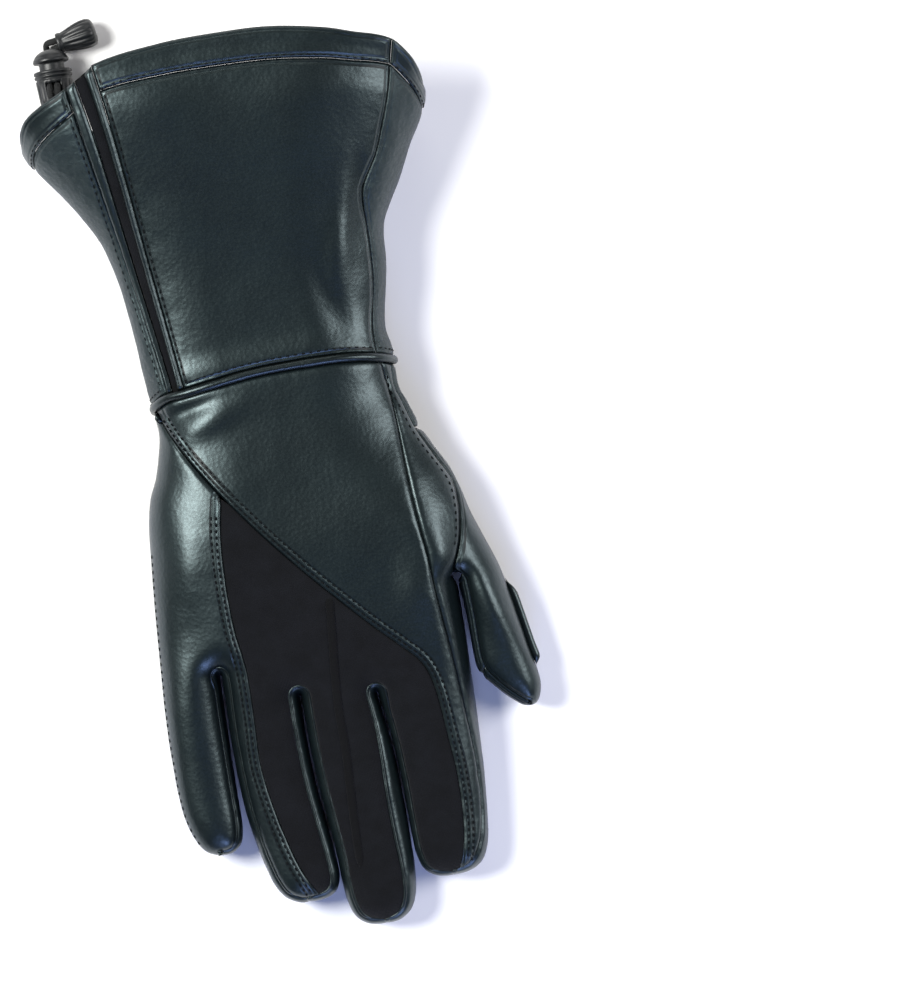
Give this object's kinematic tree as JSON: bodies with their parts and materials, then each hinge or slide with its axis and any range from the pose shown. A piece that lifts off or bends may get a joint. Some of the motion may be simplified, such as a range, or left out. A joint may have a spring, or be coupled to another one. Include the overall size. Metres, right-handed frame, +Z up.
{
  "type": "motorcycle gauntlet",
  "caption": "Leather riding glove for the right hand with a long flared cuff, stretch insert, padded palm and a drawcord with a push-button cord lock at the mouth.",
  "frame": {"origin": "centre of the glove's own box on the floor under the palm, without the free cord and its lock", "axes": "+X to the thumb side, +Y from the fingers up the cuff to its mouth, +Z up from the palm through the back of the hand"},
  "size_m": [0.1612, 0.356, 0.0565],
  "materials": {
    "smooth_leather": "semi-gloss smooth black",
    "grained_leather": "satin grained black",
    "stretch_fabric": "matte black stretch",
    "rib_knit": "matte black ribbed",
    "cord": "black braid",
    "black_plastic": "satin black"
  },
  "bodies": {
    "glove": {"hem_back": "smooth_leather", "cuff_back_panel": "smooth_leather", "cuff_welt_inner": "smooth_leather", "cuff_gusset_strip": "stretch_fabric", "cuff_welt_outer": "smooth_leather", "hem_side": "grained_leather", "cuff_side_panel": "grained_leather", "hem_palm": "grained_leather", "cuff_palm_panel": "grained_leather", "wrist_welt": "smooth_leather", "outer_back_panel": "smooth_leather", "stretch_insert": "stretch_fabric", "main_back_panel": "smooth_leather", "index_side_panel": "smooth_leather", "fourchette_little_ring": "smooth_leather", "fourchette_ring_middle": "smooth_leather", "fourchette_middle_index": "smooth_leather", "heel_pad_outer": "smooth_leather", "heel_pad_inner": "smooth_leather", "palm_panel": "grained_leather", "rib_band_little": "rib_knit", "rib_band_ring": "rib_knit", "rib_band_middle": "rib_knit", "rib_band_index": "rib_knit", "tip_pad_little": "smooth_leather", "tip_pad_ring": "smooth_leather", "tip_pad_middle": "smooth_leather", "tip_pad_index": "smooth_leather", "thumb_back": "smooth_leather", "thumb_palm": "grained_leather", "thumb_tip": "smooth_leather", "thumb_wiper": "smooth_leather", "cord_tab": "grained_leather", "cord_lock_barrel": "black_plastic", "cord_end": "black_plastic", "drawcord_left": "cord", "drawcord_right": "cord"},
    "lock_button": {"cord_lock_button": "black_plastic"}
  },
  "joints": [
    {"name": "lock_press", "type": "slide", "parent": "glove", "child": "lock_button", "axis": [0, -1, 0], "range_m": [0, 0.0025], "stiffness_N_per_m": 100, "springref_m": -0.004}
  ]
}
